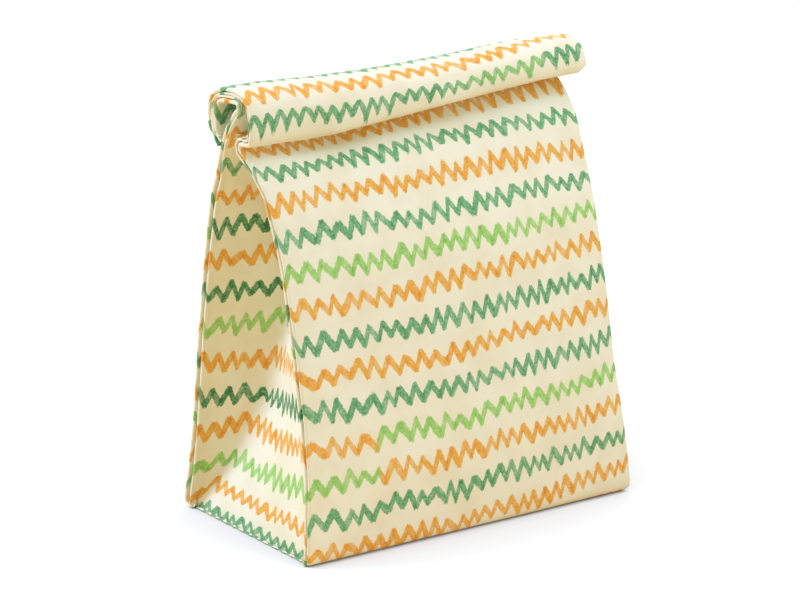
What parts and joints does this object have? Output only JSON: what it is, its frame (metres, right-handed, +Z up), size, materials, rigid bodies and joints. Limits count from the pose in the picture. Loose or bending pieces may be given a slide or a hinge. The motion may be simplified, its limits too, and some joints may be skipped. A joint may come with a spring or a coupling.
{
  "type": "fabric snack bag",
  "caption": "Standing fabric snack bag in lunch sack form with folded side gussets, stitched corner seams and a top that rolls over to close it.",
  "frame": {"origin": "centre of the base on the surface it stands on", "axes": "+Z up, +X along the bag's width, -Y out of its front"},
  "size_m": [0.19, 0.104, 0.216],
  "materials": {
    "cloth": "matte printed cotton",
    "closure": "matte woven tape"
  },
  "bodies": {
    "bag": {"base_panel": "cloth", "left_base_seam": "cloth", "right_base_seam": "cloth", "front_panel": "cloth", "back_panel": "cloth", "front_left_seam": "cloth", "back_left_seam": "cloth", "front_right_seam": "cloth", "back_right_seam": "cloth", "left_gusset": "cloth", "right_gusset": "cloth"},
    "front_wall": {"front_wall_front_ply": "cloth", "front_wall_back_ply": "cloth", "front_wall_left_tuck": "cloth", "front_wall_right_tuck": "cloth"},
    "shoulder": {"shoulder_front_ply": "cloth", "shoulder_left_tuck": "cloth", "shoulder_right_tuck": "cloth"},
    "crown": {"crown_front_ply": "cloth", "crown_back_ply": "cloth", "crown_left_tuck": "cloth", "crown_right_tuck": "cloth"},
    "slope": {"slope_front_ply": "cloth", "slope_back_ply": "cloth", "slope_left_tuck": "cloth", "slope_right_tuck": "cloth"},
    "back_wall": {"back_wall_front_ply": "cloth", "back_wall_back_ply": "cloth", "back_wall_left_tuck": "cloth", "back_wall_right_tuck": "cloth", "hook_strip": "closure", "loop_strip": "closure"}
  },
  "joints": [
    {"name": "neck_fold", "type": "hinge", "parent": "bag", "child": "front_wall", "pos_m": [0, 0.01695, 0.18446], "axis": [-1, 0, 0], "range_deg": [0, 30]},
    {"name": "shoulder_fold", "type": "hinge", "parent": "front_wall", "child": "shoulder", "pos_m": [0, -0.01114, 0.20698], "axis": [-1, 0, 0], "range_deg": [-75, 0]},
    {"name": "crown_fold", "type": "hinge", "parent": "shoulder", "child": "crown", "pos_m": [0, -0.00363, 0.21492], "axis": [-1, 0, 0], "range_deg": [-42, 0]},
    {"name": "slope_fold", "type": "hinge", "parent": "crown", "child": "slope", "pos_m": [0, 0.01023, 0.21568], "axis": [-1, 0, 0], "range_deg": [-27, 0]},
    {"name": "back_fold", "type": "hinge", "parent": "slope", "child": "back_wall", "pos_m": [0, 0.02118, 0.21088], "axis": [-1, 0, 0], "range_deg": [-66, 0]}
  ],
  "couplings": [
    {"joint": "shoulder_fold", "follows": "neck_fold", "ratio": -2.5},
    {"joint": "crown_fold", "follows": "neck_fold", "ratio": -1.4},
    {"joint": "slope_fold", "follows": "neck_fold", "ratio": -0.9},
    {"joint": "back_fold", "follows": "neck_fold", "ratio": -2.2}
  ]
}
